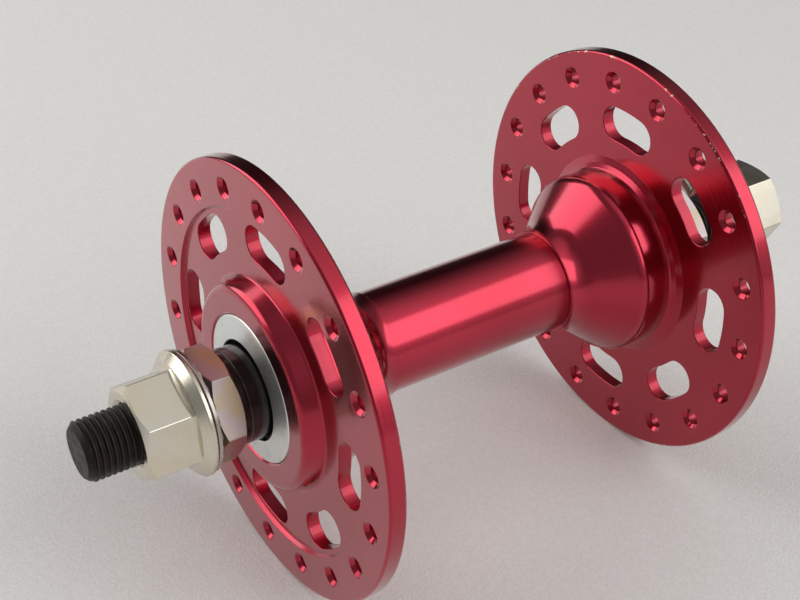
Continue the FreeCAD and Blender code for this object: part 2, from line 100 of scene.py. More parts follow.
# sizes of the flange that its box doesn't give
FLANGE_OUT = 38.0 * MM
FLANGE_IN = FLANGE_OUT - 3.06 * MM
WEB_OUT = FLANGE_OUT - 0.7 * MM
HOLE_CIRCLE = 33.0 * MM
HOLE_RADIUS = 1.25 * MM
SINK_RADIUS = 1.95 * MM
HOLES = 18
SLOTS = 8
SLOT_MIDDLE = 25.45 * MM
SLOT_HALF_WIDTH = 3.15 * MM
SLOT_HALF_SPAN = math.radians(27.8 / 2)
BORE_RADIUS = 12.75 * MM
SHELL_BORE = 7.4 * MM
SPIGOT_RADIUS = 8.2 * MM
SPIGOT_LENGTH = 5.0 * MM

# turns about the axle, in degrees from X towards Z before the end is set in place
HOLE_TURN = {"left": 12.96, "right": 17.04}
SLOT_TURN = {"left": 4.0, "right": -0.84}
LOCKNUT_TURN = {"left": 1.6, "right": 22.0}
NUT_TURN = {"left": 25.7, "right": -1.0}


# ---------------------------------------------------------------- mesh building

class Skin:
    """Collects points and faces, with the exact normal of every face corner."""

    def __init__(self):
        self.points = []
        self.faces = []
        self.normals = []

    def ring(self, points):
        """Add points and return their numbers."""
        first = len(self.points)
        self.points.extend(Vector(point) for point in points)
        return list(range(first, first + len(points)))

    def face(self, corners, normals):
        """Add a face, turned so that it looks the way its normals do. None means flat."""
        place = [self.points[corner] for corner in corners]
        flat = Vector((0, 0, 0))
        for number in range(1, len(place) - 1):
            flat += (place[number] - place[0]).cross(place[number + 1] - place[0])
        if normals is None:
            normals = [flat.normalized()] * len(corners)
        elif flat.dot(sum(normals, Vector((0, 0, 0)))) < 0:
            corners, normals = corners[::-1], normals[::-1]
        self.faces.append(corners)
        self.normals.extend(normals)

    def strip(self, first, second, first_normals, second_normals):
        """Quads between two closed rings of the same count."""
        count = len(first)
        for here in range(count):
            there = (here + 1) % count
            self.face([first[here], first[there], second[there], second[here]],
                      [first_normals[here], first_normals[there],
                       second_normals[there], second_normals[here]])

    def fill(self, rings, normal):
        """A flat face inside the first ring and outside the others."""
        loops = [[Vector((self.points[i].x, self.points[i].z, 0)) for i in ring] for ring in rings]
        numbers = [i for ring in rings for i in ring]
        for triangle in tessellate_polygon(loops):
            self.face([numbers[i] for i in triangle], [normal] * 3)

    def finish(self, name, end=None, turn=0.0):
        """Make the object, turned about the axle and set on its end."""
        spin = Matrix.Rotation(math.radians(-turn), 3, "Y")
        if end == "left":
            spin = Matrix.Rotation(math.pi, 3, "Z") @ spin
        mesh = bpy.data.meshes.new(name)
        mesh.from_pydata([spin @ point for point in self.points], [], self.faces)
        mesh.polygons.foreach_set("use_smooth", [True] * len(mesh.polygons))
        mesh.normals_split_custom_set([spin @ normal for normal in self.normals])
        mesh.validate()
        thing = bpy.data.objects.new(name, mesh)
        bpy.context.scene.collection.objects.link(thing)
        return thing


def around_axle(steps):
    """Anchors and directions of a ring round the axle: a point is anchor + distance * direction."""
    turns = [2 * math.pi * step / steps for step in range(steps)]
    return [(0.0, 0.0, math.cos(turn), math.sin(turn)) for turn in turns]


def around_hole(turn, steps=36):
    """The same round a spoke hole's own axis."""
    across = HOLE_CIRCLE * math.cos(turn)
    rise = HOLE_CIRCLE * math.sin(turn)
    return [(across, rise, one[2], one[3]) for one in around_axle(steps)]


def around_slot(turn):
    """The same round the wall of a kidney-shaped slot; the directions point out of the slot."""
    half = SLOT_HALF_SPAN - SLOT_HALF_WIDTH / SLOT_MIDDLE
    ring = []
    for step in range(13):
        angle = turn - half + 2 * half * step / 12
        reach = SLOT_MIDDLE + SLOT_HALF_WIDTH
        ring.append((reach * math.cos(angle), reach * math.sin(angle),
                     math.cos(angle), math.sin(angle)))
    for tip, first in ((turn + half, turn + half), (turn - half, turn - half + math.pi)):
        for step in range(1, 12):
            angle = first + math.pi * step / 12
            ring.append((SLOT_MIDDLE * math.cos(tip) + SLOT_HALF_WIDTH * math.cos(angle),
                         SLOT_MIDDLE * math.sin(tip) + SLOT_HALF_WIDTH * math.sin(angle),
                         math.cos(angle), math.sin(angle)))
        if tip > turn:
            for step in range(13):
                angle = turn + half - 2 * half * step / 12
                reach = SLOT_MIDDLE - SLOT_HALF_WIDTH
                ring.append((reach * math.cos(angle), reach * math.sin(angle),
                             -math.cos(angle), -math.sin(angle)))
    return ring


def rounded(corners, closed=True):
    """Walk an outline of (distance, out, rounding, name) corners, material on the left.

    Returns (start point, end point, start normal, end normal, name) for each short stretch.
    A name belongs to the straight stretch that follows its corner.
    """
    corners = [(Vector((c[0], c[1])), c[2] if len(c) > 2 else 0.0, c[3] if len(c) > 3 else None)
               for c in corners]
    count = len(corners)
    pieces = []
    for number, (corner, rounding, name) in enumerate(corners):
        before = corners[number - 1][0]
        after = corners[(number + 1) % count][0]
        if rounding and (closed or 0 < number < count - 1):
            back = (before - corner).normalized()
            ahead = (after - corner).normalized()
            half = math.acos(max(-1.0, min(1.0, back.dot(ahead)))) / 2
            reach = rounding / math.tan(half)
            centre = corner + (back + ahead).normalized() * rounding / math.sin(half)
            start = corner + back * reach
            end = corner + ahead * reach
            heading = -back
            outward = Vector((heading.y, -heading.x))
            bulge = 1.0 if (start - centre).dot(outward) > 0 else -1.0
            sweep = math.pi - 2 * half
            steps = max(2, math.ceil(sweep / ARC_STEP))
            first = (start - centre).normalized()
            turn_left = first.x * (end - centre).y - first.y * (end - centre).x > 0
            points = []
            for step in range(steps + 1):
                angle = sweep * step / steps * (1 if turn_left else -1)
                ray = Vector((first.x * math.cos(angle) - first.y * math.sin(angle),
                              first.x * math.sin(angle) + first.y * math.cos(angle)))
                points.append((centre + ray * rounding, ray * bulge))
            pieces.append((points, name))
        else:
            pieces.append(([(corner, None)], name))
    stretches = []
    for number, (points, name) in enumerate(pieces):
        for (p, n), (q, m) in zip(points, points[1:]):
            stretches.append((p, q, n, m, None))
        if closed or number < count - 1:
            p = points[-1][0]
            q = pieces[(number + 1) % count][0][0][0]
            heading = (q - p).normalized()
            outward = Vector((heading.y, -heading.x))
            stretches.append((p, q, outward, outward, name))
    return stretches


def sweep(skin, stretches, around, closed=True, first_ring=None, last_ring=None):
    """Carry an outline round a ring. Named stretches are left open; their rings are returned."""
    rings = [] if first_ring is None else [first_ring]
    for p, q, n, m, name in stretches[len(rings):]:
        rings.append(skin.ring([(ax + p.x * dx, p.y, az + p.x * dz) for ax, az, dx, dz in around]))
    if closed:
        rings.append(rings[0])
    elif last_ring is not None:
        rings.append(last_ring)
    else:
        p = stretches[-1][1]
        rings.append(skin.ring([(ax + p.x * dx, p.y, az + p.x * dz)
                                for ax, az, dx, dz in around]))
    open_rings = {}
    for (p, q, n, m, name), first, second in zip(stretches, rings, rings[1:]):
        if name:
            open_rings[name] = (first, second)
            continue
        skin.strip(first, second,
                   [Vector((n.x * dx, n.y, n.x * dz)) for ax, az, dx, dz in around],
                   [Vector((m.x * dx, m.y, m.x * dz)) for ax, az, dx, dz in around])
    return rings, open_rings


def lathe(name, corners, end=None):
    """A turned piece with a closed outline."""
    skin = Skin()
    sweep(skin, rounded(corners), around_axle(SMALL_STEPS))
    return skin.finish(name, end)


# ---------------------------------------------------------------- the pieces

def flange_shell(end):
    """Flange with countersunk holes and slots, boss outside and bell inside, all rounded."""
    skin = Skin()
    rim_rounding = 0.5 * MM
    neck = 9.2 * MM
    neck_rounding = 6.4 * MM
    bell = 16.4 * MM
    bell_rounding = 3.2 * MM
    bell_end = FLANGE_IN - 6.7 * MM
    bell_slope = 0.905
    neck_out = bell_end - (bell - neck) / bell_slope
    collar_foot = 17.4 * MM
    collar = 18.7 * MM
    collar_height = 0.5 * MM
    web = 29.4 * MM
    web_wall_run = 0.4 * MM
    boss = 17.3 * MM
    boss_foot = 18.5 * MM
    boss_rounding = 1.4 * MM
    bore_chamfer = 0.3 * MM
    bore_floor = 31.4 * MM
    corners = [
        (SPIGOT_RADIUS, SEAM_OUT),
        (neck, SEAM_OUT, 0.12 * MM),
        (neck, neck_out, neck_rounding),
        (bell, bell_end, bell_rounding),
        (bell, FLANGE_IN - 2 * collar_height, 0.5 * MM),
        (collar_foot, FLANGE_IN - collar_height, 0.25 * MM),
        (collar, FLANGE_IN, 0.5 * MM, "inner_face"),
        (FLANGE_RADIUS, FLANGE_IN, rim_rounding),
        (FLANGE_RADIUS, FLANGE_OUT, rim_rounding, "outer_face"),
        (web + web_wall_run, FLANGE_OUT, 0.12 * MM),
        (web, WEB_OUT, 0.2 * MM, "web_face"),
        (boss_foot, WEB_OUT, 0.5 * MM),
        (boss, BOSS_OUT, boss_rounding),
        (BORE_RADIUS + bore_chamfer, BOSS_OUT, 0.1 * MM),
        (BORE_RADIUS, BOSS_OUT - bore_chamfer),
        (BORE_RADIUS, bore_floor),
        (SHELL_BORE, bore_floor),
        (SHELL_BORE, SEAM_OUT + SPIGOT_LENGTH),
        (SPIGOT_RADIUS, SEAM_OUT + SPIGOT_LENGTH),
    ]
    open_rings = sweep(skin, rounded(corners), around_axle(STEPS_ROUND))[1]
    sink = SINK_RADIUS - HOLE_RADIUS
    sink_land = 0.25 * MM
    sink_rounding = 0.3 * MM
    hole_walk = rounded([
        (SINK_RADIUS + sink_land, FLANGE_OUT),
        (SINK_RADIUS, FLANGE_OUT, sink_rounding),
        (HOLE_RADIUS, FLANGE_OUT - sink, sink_rounding),
        (HOLE_RADIUS, FLANGE_IN + sink, sink_rounding),
        (SINK_RADIUS, FLANGE_IN, sink_rounding),
        (SINK_RADIUS + sink_land, FLANGE_IN),
    ], closed=False)
    outer_holes = []
    inner_holes = []
    for hole in range(HOLES):
        turn = math.radians(HOLE_TURN[end] + 360 * hole / HOLES)
        walls = sweep(skin, hole_walk, around_hole(turn), closed=False)[0]
        outer_holes.append(walls[0])
        inner_holes.append(walls[-1])
    slot_land = 0.4 * MM
    slot_rounding = 0.16 * MM
    slot_walk = rounded([
        (slot_land, WEB_OUT),
        (0.0, WEB_OUT, slot_rounding),
        (0.0, FLANGE_IN, slot_rounding),
        (slot_land, FLANGE_IN),
    ], closed=False)
    web_slots = []
    for slot in range(SLOTS):
        turn = math.radians(SLOT_TURN[end] + 360 * slot / SLOTS)
        walls = sweep(skin, slot_walk, around_slot(turn), closed=False)[0]
        web_slots.append(walls[0])
        inner_holes.append(walls[-1])
    out = Vector((0, 1, 0))
    skin.fill([open_rings["outer_face"][0], open_rings["outer_face"][1], *outer_holes], out)
    skin.fill([open_rings["web_face"][0], open_rings["web_face"][1], *web_slots], out)
    skin.fill([open_rings["inner_face"][1], open_rings["inner_face"][0], *inner_holes], -out)
    return skin.finish(f"{end}_flange_shell_visual", end)


def centre_barrel():
    """Tube with a thinner spigot at each end, which enters the flange shells."""
    tip = SEAM_OUT + SPIGOT_LENGTH
    return lathe("centre_barrel_visual", [
        (SHELL_BORE, -tip),
        (SPIGOT_RADIUS, -tip),
        (SPIGOT_RADIUS, -SEAM_OUT),
        (BARREL_RADIUS, -SEAM_OUT, 0.12 * MM),
        (BARREL_RADIUS, SEAM_OUT, 0.12 * MM),
        (SPIGOT_RADIUS, SEAM_OUT),
        (SPIGOT_RADIUS, tip),
        (SHELL_BORE, tip),
    ])


def dust_cap(end):
    """Thin ring with a short skirt, pressed into the boss round the cone."""
    wall = 0.7 * MM
    hole = 8.6 * MM
    rim_out = CAP_LIP_OUT - 0.6 * MM
    return lathe(f"{end}_dust_cap_visual", [
        (CAP_RADIUS - wall, CAP_SKIRT_OUT),
        (CAP_RADIUS, CAP_SKIRT_OUT),
        (CAP_RADIUS, rim_out, 0.35 * MM),
        (hole, CAP_LIP_OUT, 0.2 * MM),
        (hole, CAP_LIP_OUT - wall, 0.2 * MM),
        (CAP_RADIUS - wall, rim_out - wall),
    ], end)


def bearing_cone(end):
    """Cone whose hollow race carries the balls, with a straight back."""
    nose = 6.339 * MM
    race_start = CONE_NOSE_OUT + 1.9 * MM
    race_end = CONE_NOSE_OUT + 3.9 * MM
    return lathe(f"{end}_bearing_cone_visual", [
        (AXLE_RADIUS, CONE_NOSE_OUT),
        (nose, CONE_NOSE_OUT, 0.2 * MM),
        (nose, race_start, 1.4 * MM),
        (CONE_RADIUS, race_end, 0.15 * MM),
        (CONE_RADIUS, CONE_BACK_OUT, 0.25 * MM),
        (AXLE_RADIUS, CONE_BACK_OUT),
    ], end)


def lock_washer(end):
    """Plain washer between cone and locknut."""
    radius = outer_radius("right_lock_washer")
    return lathe(f"{end}_lock_washer_visual", [
        (AXLE_RADIUS, WASHER_IN),
        (radius, WASHER_IN, 0.15 * MM),
        (radius, WASHER_OUT, 0.15 * MM),
        (AXLE_RADIUS, WASHER_OUT),
    ], end)


def hexagon(flats, rounding, corner_steps=6, side_steps=10):
    """Points and outward directions of a hexagon with rounded corners, in equal turns."""
    inset = flats / 2 - rounding
    ring = []
    for side in range(6):
        corner = math.radians(60 * side)
        reach = inset / math.cos(math.radians(30))
        for step in range(corner_steps + 1):
            angle = corner + math.radians(60) * (step / corner_steps - 0.5)
            ring.append((reach * math.cos(corner) + rounding * math.cos(angle),
                         reach * math.sin(corner) + rounding * math.sin(angle),
                         math.cos(angle), math.sin(angle)))
        last = ring[-1]
        after = math.radians(60 * side + 60)
        end = (reach * math.cos(after) + rounding * last[2],
               reach * math.sin(after) + rounding * last[3])
        for step in range(1, side_steps):
            share = step / side_steps
            ring.append((last[0] + (end[0] - last[0]) * share,
                         last[1] + (end[1] - last[1]) * share, last[2], last[3]))
    return ring


def from_centre(ring):
    """The directions from the axle to a ring's points, as a ring round the axle."""
    directions = []
    for across, rise, nx, nz in ring:
        reach = math.hypot(across, rise)
        directions.append((0.0, 0.0, across / reach, rise / reach))
    return directions


def chamfered_face(skin, ring, face_ring, face_radius, face_out, way):
    """Cone from a face's rim to the sides of a hexagon; way is +1 for the outer face."""
    fall = math.tan(NUT_CHAMFER)
    heights = [face_out - way * (math.hypot(p[0], p[1]) - face_radius) * fall for p in ring]
    side_ring = skin.ring([(p[0], height, p[1]) for p, height in zip(ring, heights)])
    normals = []
    for ax, az, dx, dz in from_centre(ring):
        normals.append(Vector((fall * dx, way, fall * dz)).normalized())
    skin.strip(face_ring, side_ring, normals, normals)
    return side_ring


def locknut(end):
    """Thin hexagon, coned on both faces."""
    flats = 17.0 * MM
    ring = hexagon(flats, 0.35 * MM)
    face_radius = flats / 2 - 0.05 * MM
    bore_chamfer = 0.5 * MM
    skin = Skin()
    walk = rounded([
        (face_radius, LOCKNUT_OUT),
        (AXLE_RADIUS + bore_chamfer, LOCKNUT_OUT),
        (AXLE_RADIUS, LOCKNUT_OUT - bore_chamfer),
        (AXLE_RADIUS, LOCKNUT_IN + bore_chamfer),
        (AXLE_RADIUS + bore_chamfer, LOCKNUT_IN),
        (face_radius, LOCKNUT_IN),
    ], closed=False)
    rings = sweep(skin, walk, from_centre(ring), closed=False)[0]
    top = chamfered_face(skin, ring, rings[0], face_radius, LOCKNUT_OUT, 1.0)
    bottom = chamfered_face(skin, ring, rings[-1], face_radius, LOCKNUT_IN, -1.0)
    sides = [Vector((nx, 0, nz)) for ax, az, nx, nz in ring]
    skin.strip(top, bottom, sides, sides)
    return skin.finish(f"{end}_locknut_visual", end, LOCKNUT_TURN[end])


def axle_nut(end):
    """Hexagon with a coned outer face, sweeping into a sloping round flange."""
    collar_out, face_out = span(f"{end}_axle_nut")
    flats = 15.0 * MM
    ring = hexagon(flats, 0.25 * MM)
    directions = from_centre(ring)
    bore = AXLE_RADIUS + 0.05 * MM
    outer_chamfer = 0.7 * MM
    inner_chamfer = 0.4 * MM
    face_radius = 7.1 * MM
    collar = 6.3 * MM
    flange = collar_out + 0.7 * MM
    slope_start = flange + 0.75 * MM
    slope_end = slope_start + 1.25 * MM
    top_radius = 9.1 * MM
    side_out = slope_end + 1.0 * MM
    skin = Skin()
    walk = rounded([
        (face_radius, face_out),
        (bore + outer_chamfer, face_out, 0.1 * MM),
        (bore, face_out - outer_chamfer, 0.1 * MM),
        (bore, collar_out + inner_chamfer),
        (bore + inner_chamfer, collar_out),
        (collar, collar_out, 0.1 * MM),
        (collar, flange),
        (NUT_FLANGE_RADIUS, flange, 0.25 * MM),
        (NUT_FLANGE_RADIUS, slope_start, 0.3 * MM),
        (top_radius, slope_end),
    ], closed=False)
    rings = sweep(skin, walk, directions, closed=False)[0]
    top = chamfered_face(skin, ring, rings[0], face_radius, face_out, 1.0)
    foot = skin.ring([(p[0], side_out, p[1]) for p in ring])
    sides = [Vector((nx, 0, nz)) for ax, az, nx, nz in ring]
    skin.strip(top, foot, sides, sides)
    blend_steps = 6
    previous = foot
    automatic = [Vector((0, 0, 0))] * len(ring)
    for step in range(1, blend_steps + 1):
        angle = math.pi / 2 * step / blend_steps
        share = 1 - math.cos(angle)
        height = side_out - (side_out - slope_end) * math.sin(angle)
        if step == blend_steps:
            blend = rings[-1]
        else:
            blend = skin.ring([(p[0] * (1 - share) + d[2] * top_radius * share, height,
                                p[1] * (1 - share) + d[3] * top_radius * share)
                               for p, d in zip(ring, directions)])
        skin.strip(previous, blend, automatic, automatic)
        previous = blend
    return skin.finish(f"{end}_axle_nut_visual", end, NUT_TURN[end])


def grip_washer(end):
    """Flat ring with radial teeth on its inner face."""
    inner, outer = span(f"{end}_grip_washer")
    teeth = 24
    tooth_shape = (1.0, 0.45, 0.0, 0.45)
    steps = teeth * len(tooth_shape)
    bore = 6.45 * MM
    tooth_start = 7.0 * MM
    depth = 0.3 * MM
    rounding = 0.15 * MM
    around = around_axle(steps)
    skin = Skin()
    walk = rounded([
        (GRIP_RADIUS, inner + depth),
        (GRIP_RADIUS, outer, rounding),
        (bore, outer),
        (bore, inner + depth),
    ], closed=False)
    rings = sweep(skin, walk, around, closed=False)[0]
    lift = [depth * share for share in tooth_shape * teeth]
    crown = []
    for radius in (GRIP_RADIUS - rounding, tooth_start):
        crown.append(skin.ring([(radius * d[2], inner + up, radius * d[3])
                                for d, up in zip(around, lift)]))
    for first, second in ((rings[0], crown[0]), (crown[0], crown[1]), (crown[1], rings[-1])):
        for here in range(steps):
            there = (here + 1) % steps
            skin.face([first[here], first[there], second[there], second[here]], None)
    return skin.finish(f"{end}_grip_washer_visual", end)


def axle():
    """Axle with a true helical thread near its ends and chamfered tips."""
    pitch = 1.0 * MM
    root_depth = 0.45 * MM
    chamfer = 0.9 * MM
    start = WASHER_IN
    steps = 72
    rows_per_pitch = 12
    turns = [2 * math.pi * step / steps for step in range(steps)]
    skin = Skin()

    crest = 1.45
    flank = 1.9

    def thread_radius(out, turn):
        """Crest, flank and root along the helix, cut off by the tip's chamfer."""
        phase = (out / pitch - turn / (2 * math.pi)) % 1.0
        rise = min(1.0, max(0.0, crest - abs(2 * phase - 1) * flank))
        radius = AXLE_RADIUS - root_depth * (1 - rise)
        return min(radius, AXLE_RADIUS - chamfer + (AXLE_TIP - abs(out)))

    rows = int(round((AXLE_TIP - start) / pitch * rows_per_pitch))
    outs = [start + (AXLE_TIP - start) * row / rows for row in range(rows + 1)]
    heights = [-out for out in reversed(outs)] + outs
    rings = []
    for height in heights:
        rings.append(skin.ring([(thread_radius(height, turn) * math.cos(turn), height,
                                 thread_radius(height, turn) * math.sin(turn))
                                for turn in turns]))
    automatic = [Vector((0, 0, 0))] * steps
    for first, second in zip(rings, rings[1:]):
        skin.strip(second, first, automatic, automatic)
    for ring, way in ((rings[0], -1.0), (rings[-1], 1.0)):
        skin.fill([ring], Vector((0, way, 0)))
    return skin.finish("axle_visual")


# ---------------------------------------------------------------- materials

class Graph:
    """A material's nodes, with short ways to add the ones used here."""

    def __init__(self, name):
        self.material = bpy.data.materials.new(name)
        self.material.use_nodes = True
        self.nodes = self.material.node_tree.nodes
        self.links = self.material.node_tree.links
        self.surface = self.nodes["Principled BSDF"]

    def node(self, kind, inputs=(), **settings):
        node = self.nodes.new(kind)
        for key, value in settings.items():
            setattr(node, key, value)
        for socket, value in dict(inputs).items():
            if isinstance(value, bpy.types.NodeSocket):
                self.links.new(value, node.inputs[socket])
            else:
                node.inputs[socket].default_value = value
        return node

    def maths(self, operation, first, second=0.0, third=0.0):
        node = self.node("ShaderNodeMath", {0: first, 1: second, 2: third}, operation=operation)
        return node.outputs[0]

    def spread(self, value, low, high, to_low=0.0, to_high=1.0):
        """Map a value's range smoothly on another."""
        node = self.node("ShaderNodeMapRange", {0: value, 1: low, 2: high, 3: to_low, 4: to_high},
                         interpolation_type="SMOOTHSTEP")
        return node.outputs[0]

    def noise(self, vector, scale, detail=2.0, roughness=0.5):
        node = self.node("ShaderNodeTexNoise", {"Vector": vector, "Scale": scale,
                                                "Detail": detail, "Roughness": roughness})
        return node.outputs[0]

    def mix(self, share, first, second):
        node = self.node("ShaderNodeMix", data_type="RGBA")
        for socket, value in ((0, share), (6, first), (7, second)):
            if isinstance(value, bpy.types.NodeSocket):
                self.links.new(value, node.inputs[socket])
            else:
                node.inputs[socket].default_value = value
        return node.outputs[2]

    def place(self):
        return self.node("ShaderNodeTexCoord").outputs["Object"]

    def facing(self):
        """The direction a surface faces, in the hub's own frame."""
        return self.node("ShaderNodeTexCoord").outputs["Normal"]

    def round_place(self, place):
        """Distance from the axle and distance along it."""
        parts = self.node("ShaderNodeSeparateXYZ", {0: place})
        across = self.maths("MULTIPLY", parts.outputs[0], parts.outputs[0])
        square = self.maths("MULTIPLY_ADD", parts.outputs[2], parts.outputs[2], across)
        return self.maths("SQRT", square), parts.outputs[1]

    def turned_lines(self, radius, along, step):
        """Fine lines left by the tool: noise that changes only with radius and height."""
        sum_along = self.maths("MULTIPLY_ADD", along, 1.37, radius)
        scaled = self.maths("DIVIDE", sum_along, step)
        node = self.node("ShaderNodeTexNoise", {"W": scaled, "Scale": 1.0, "Detail": 2.5},
                         noise_dimensions="1D")
        return node.outputs[0]

    def bump(self, height, distance):
        inputs = {"Height": height, "Distance": distance, "Strength": 1.0}
        return self.node("ShaderNodeBump", inputs).outputs[0]

    def tangent(self):
        """Direction of the turning marks, round the axle."""
        return self.node("ShaderNodeTangent", direction_type="RADIAL", axis="Y").outputs[0]

    def finish(self, **values):
        for socket, value in values.items():
            socket = socket.replace("_", " ")
            if isinstance(value, bpy.types.NodeSocket):
                self.links.new(value, self.surface.inputs[socket])
            else:
                self.surface.inputs[socket].default_value = value
        return self.material


def anodised_red():
    """Dyed anodic layer over turned aluminium, chipped to bare metal along the inner rim."""
    graph = Graph("red_anodised_aluminium")
    place = graph.place()
    radius, along = graph.round_place(place)
    distance_out = graph.maths("ABSOLUTE", along)
    lines = graph.turned_lines(radius, along, 0.35 * MM)
    cloud = graph.noise(place, 45.0, 3.0)
    tone = graph.mix(graph.spread(cloud, 0.35, 0.65), (0.39, 0.012, 0.034, 1),
                     (0.44, 0.016, 0.043, 1))
    near_rim = graph.spread(radius, FLANGE_RADIUS - 0.6 * MM, FLANGE_RADIUS - 0.3 * MM)
    near_inside = graph.spread(distance_out, FLANGE_IN + 0.1 * MM, FLANGE_IN + 0.5 * MM, 1.0, 0.0)
    chips = graph.spread(graph.noise(place, 1100.0, 4.0, 0.65), 0.575, 0.61)
    patches = graph.spread(graph.noise(place, 38.0, 1.0), 0.50, 0.60)
    rim = graph.maths("MULTIPLY", near_rim, near_inside)
    worn = graph.maths("MULTIPLY", graph.maths("MULTIPLY", chips, patches), rim)
    colour = graph.mix(worn, tone, (0.62, 0.52, 0.40, 1))
    shine = graph.spread(lines, 0.3, 0.7, 0.17, 0.25)
    facing = graph.node("ShaderNodeSeparateXYZ", {0: graph.facing()}).outputs[1]
    on_wall = graph.spread(graph.maths("ABSOLUTE", facing), 0.3, 0.7, 1.0, 0.0)
    in_slot = graph.maths("MULTIPLY", graph.spread(radius, 20.0 * MM, 21.0 * MM),
                          graph.spread(radius, 34.5 * MM, 35.0 * MM, 1.0, 0.0))
    milled = graph.maths("MULTIPLY_ADD", graph.maths("MULTIPLY", on_wall, in_slot), 0.22, shine)
    rough = graph.maths("MULTIPLY_ADD", worn, 0.25, milled)
    normal = graph.bump(lines, 0.0012 * MM)
    return graph.finish(Base_Color=colour, Metallic=1.0, Roughness=rough, Normal=normal,
                        Anisotropic=0.5, Tangent=graph.tangent(), Coat_Weight=1.0,
                        Coat_Roughness=0.12, Coat_IOR=1.37)


def plated_zinc(name, colours, rough):
    """Bright zinc with the faint colours of its passivation and soft tumbling marks."""
    graph = Graph(name)
    place = graph.place()
    tint = graph.spread(graph.noise(place, 95.0, 2.0), 0.35, 0.65)
    second = graph.spread(graph.noise(place, 190.0, 2.0), 0.42, 0.65)
    colour = graph.mix(tint, colours[0], colours[1])
    colour = graph.mix(second, colour, colours[2])
    marks = graph.noise(place, 900.0, 2.0, 0.5)
    shine = graph.spread(graph.noise(place, 320.0, 2.0), 0.3, 0.7, rough, rough + 0.05)
    normal = graph.bump(marks, 0.0005 * MM)
    return graph.finish(Base_Color=colour, Metallic=1.0, Roughness=shine, Normal=normal)


def satin_silver():
    """Clear anodised aluminium cap: soft shine, faint turned lines, a few dull spots."""
    graph = Graph("satin_silver_aluminium")
    place = graph.place()
    radius, along = graph.round_place(place)
    lines = graph.turned_lines(radius, along, 0.22 * MM)
    spots = graph.spread(graph.noise(place, 300.0, 3.0), 0.55, 0.7)
    colour = graph.mix(spots, (0.77, 0.79, 0.77, 1), (0.68, 0.70, 0.68, 1))
    rough = graph.spread(lines, 0.3, 0.7, 0.34, 0.44)
    return graph.finish(Base_Color=colour, Metallic=1.0, Roughness=rough,
                        Normal=graph.bump(lines, 0.002 * MM))


def black_oxide():
    """Black axle: crests of the thread rubbed grey, oily brown in the roots."""
    graph = Graph("black_oxide_steel")
    place = graph.place()
    radius, along = graph.round_place(place)
    crest = graph.spread(radius, AXLE_RADIUS - 0.2 * MM, AXLE_RADIUS)
    dirt = graph.spread(graph.noise(place, 260.0, 4.0, 0.6), 0.35, 0.7)
    base = graph.mix(dirt, (0.016, 0.013, 0.012, 1), (0.034, 0.026, 0.021, 1))
    colour = graph.mix(graph.maths("MULTIPLY", crest, 0.4), base, (0.045, 0.038, 0.033, 1))
    rough = graph.spread(graph.noise(place, 700.0, 3.0), 0.3, 0.7, 0.42, 0.58)
    return graph.finish(Base_Color=colour, Metallic=0.6, Roughness=rough, Specular_IOR_Level=0.3,
                        Normal=graph.bump(graph.noise(place, 2500.0, 2.0), 0.006 * MM))


def cone_black():
    """Ground and blackened bearing steel, glossy."""
    graph = Graph("glossy_black_steel")
    place = graph.place()
    radius, along = graph.round_place(place)
    lines = graph.turned_lines(radius, along, 0.3 * MM)
    colour = graph.mix(graph.spread(graph.noise(place, 200.0), 0.35, 0.65),
                       (0.028, 0.024, 0.024, 1), (0.050, 0.043, 0.040, 1))
    rough = graph.spread(lines, 0.3, 0.7, 0.14, 0.24)
    return graph.finish(Base_Color=colour, Metallic=0.8, Roughness=rough,
                        Normal=graph.bump(lines, 0.001 * MM), Coat_Weight=0.3,
                        Coat_Roughness=0.1)


def bearing_steel(name, rough):
    """Ground steel of the parts inside the bearing, with a film of grease."""
    graph = Graph(name)
    place = graph.place()
    grease = graph.spread(graph.noise(place, 350.0, 3.0), 0.45, 0.65)
    colour = graph.mix(grease, (0.62, 0.62, 0.63, 1), (0.40, 0.37, 0.30, 1))
    shine = graph.spread(graph.noise(place, 900.0, 2.0), 0.3, 0.7, rough, rough + 0.12)
    return graph.finish(Base_Color=colour, Metallic=1.0, Roughness=shine,
                        Normal=graph.bump(graph.noise(place, 1800.0), 0.003 * MM))


def table_top():
    """Pale, finely pebbled table."""
    graph = Graph("pale_table")
    place = graph.place()
    pebbles = graph.node("ShaderNodeTexVoronoi", {"Vector": place, "Scale": 2000.0}).outputs[0]
    speck = graph.spread(graph.noise(place, 1500.0, 2.0), 0.35, 0.65)
    colour = graph.mix(speck, (0.83, 0.81, 0.79, 1), (0.87, 0.855, 0.84, 1))
    return graph.finish(Base_Color=colour, Roughness=0.55,
                        Normal=graph.bump(pebbles, 0.06 * MM))


# ---------------------------------------------------------------- assembly

def settle(piece, material, body, node):
    """Give a piece its material and its body, and hide the node it takes the place of."""
    piece.data.materials.append(material)
    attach(piece, body)
    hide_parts(node)


RED = anodised_red()
SILVER = satin_silver()
NUT_ZINC = plated_zinc("bright_zinc", [(0.69, 0.64, 0.53, 1), (0.65, 0.63, 0.56, 1),
                                       (0.68, 0.61, 0.49, 1)], 0.24)
LOCKNUT_ZINC = plated_zinc("warm_zinc", [(0.50, 0.41, 0.25, 1), (0.47, 0.40, 0.31, 1),
                                         (0.47, 0.40, 0.41, 1)], 0.3)
WASHER_ZINC = plated_zinc("grey_zinc", [(0.50, 0.49, 0.44, 1), (0.46, 0.46, 0.43, 1),
                                        (0.44, 0.40, 0.36, 1)], 0.26)
OXIDE = black_oxide()
GLOSS_BLACK = cone_black()
RACE = bearing_steel("race_steel", 0.15)
BALL = bearing_steel("ball_steel", 0.06)
RETAINER = bearing_steel("retainer_steel", 0.3)

